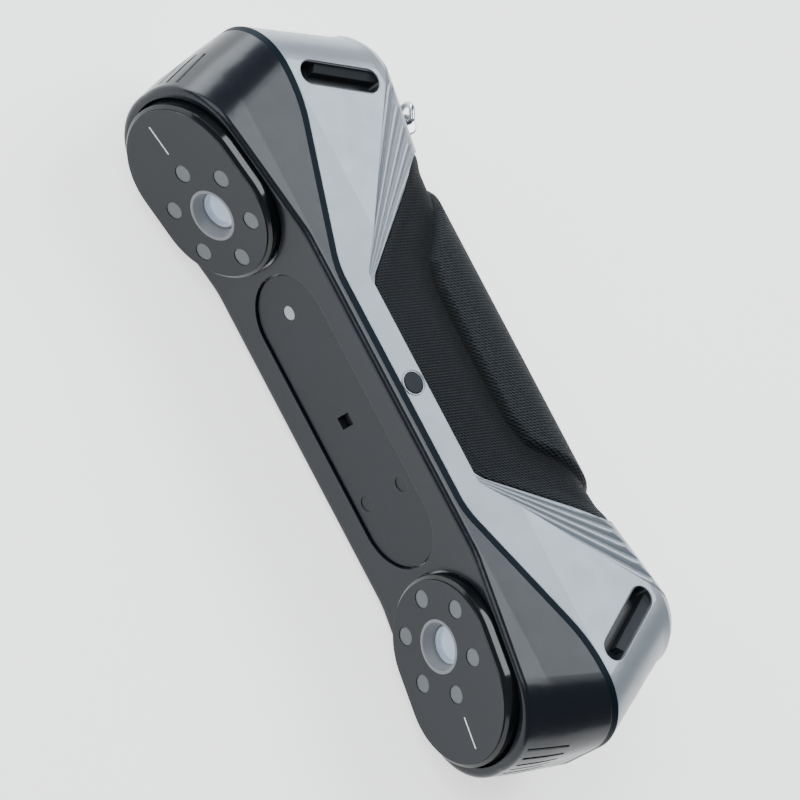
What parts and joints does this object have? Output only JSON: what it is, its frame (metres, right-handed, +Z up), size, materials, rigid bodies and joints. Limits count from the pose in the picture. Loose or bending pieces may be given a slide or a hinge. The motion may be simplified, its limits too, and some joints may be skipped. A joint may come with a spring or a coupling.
{
  "type": "handheld scanner",
  "caption": "Handheld 3-D scanner: long body with an angled camera head at each end, a recessed projector panel, silver rear shell and a wrapped hand grip.",
  "frame": {"origin": "bottom centre of the box round the scanner as it lies on one flat side", "axes": "+X along the body towards the right head, -Y out of the optical front, +Z up through the upper flat side"},
  "size_m": [0.216, 0.0742, 0.0484],
  "materials": {
    "band": "satin dark blue-green",
    "bezel": "glossy black",
    "black_metal": "black anodised",
    "board": "green circuit board",
    "brass": "plain",
    "button": "satin dark slate",
    "cast_metal": "cast",
    "chip": "black package",
    "contact": "gold plated",
    "fin_metal": "plain",
    "flex": "amber film",
    "led_window": "translucent grey",
    "lens_glass": "coated lens",
    "light_ring": "satin",
    "mark": "printed pale line",
    "marker_glass": "frosted window",
    "panel": "satin dark grey",
    "plate": "satin dark grey",
    "ring_grey": "satin grey",
    "shell_gloss": "glossy dark grey",
    "silver": "satin metallic silver",
    "sleeve": "dark woven texture",
    "slot_black": "black",
    "steel": "zinc plated",
    "strap_metal": "polished"
  },
  "bodies": {
    "housing": {"accent_band": "band", "board_chips": "chip", "board_standoffs": "brass", "cable_socket": "black_metal", "camera_barrel_left": "black_metal", "camera_barrel_right": "black_metal", "camera_board_left": "board", "camera_board_right": "board", "camera_flex_left": "flex", "camera_flex_right": "flex", "camera_lens_left": "lens_glass", "camera_lens_right": "lens_glass", "camera_ring_left": "ring_grey", "camera_ring_right": "ring_grey", "color_camera": "black_metal", "front_shell": "shell_gloss", "grip_sleeve": "sleeve", "heat_spreader": "fin_metal", "index_mark_left": "mark", "index_mark_right": "mark", "laser_modules": "brass", "led_board_left": "board", "led_board_right": "board", "led_windows_left": "led_window", "led_windows_right": "led_window", "lens_bezel_left": "bezel", "lens_bezel_right": "bezel", "lens_plate_left": "plate", "lens_plate_right": "plate", "lower_board": "board", "lower_button_rings": "light_ring", "lower_switches": "chip", "main_board": "board", "marker_window": "marker_glass", "optical_frame": "cast_metal", "projector_lens": "black_metal", "projector_module": "black_metal", "rear_shell": "silver", "shell_screws": "steel", "side_board": "board", "side_button_ring": "light_ring", "side_switch": "chip", "slot_inserts_left": "slot_black", "slot_inserts_right": "slot_black", "socket_contacts": "contact", "strap_tab": "strap_metal", "vent_mesh_left": "slot_black", "vent_mesh_right": "slot_black", "window_panel": "panel"},
    "side_button": {"side_button": "button"},
    "scan_button": {"scan_button": "button"},
    "plus_button": {"plus_button": "button"},
    "minus_button": {"minus_button": "button"},
    "strap_ring": {"strap_ring": "strap_metal"}
  },
  "joints": [
    {"name": "side_button_press", "type": "slide", "parent": "housing", "child": "side_button", "axis": [0, 0, -1], "range_m": [0, 0.0006], "stiffness_N_per_m": 400, "springref_m": -0.001},
    {"name": "scan_button_press", "type": "slide", "parent": "housing", "child": "scan_button", "axis": [0, 0, 1], "range_m": [0, 0.0006], "stiffness_N_per_m": 400, "springref_m": -0.001},
    {"name": "plus_button_press", "type": "slide", "parent": "housing", "child": "plus_button", "axis": [0, 0, 1], "range_m": [0, 0.0006], "stiffness_N_per_m": 400, "springref_m": -0.001},
    {"name": "minus_button_press", "type": "slide", "parent": "housing", "child": "minus_button", "axis": [0, 0, 1], "range_m": [0, 0.0006], "stiffness_N_per_m": 400, "springref_m": -0.001},
    {"name": "strap_ring_swing", "type": "hinge", "parent": "housing", "child": "strap_ring", "pos_m": [-0.0651, 0.03402, 0.0368], "axis": [0, 0, 1], "range_deg": [-75, 20]}
  ]
}
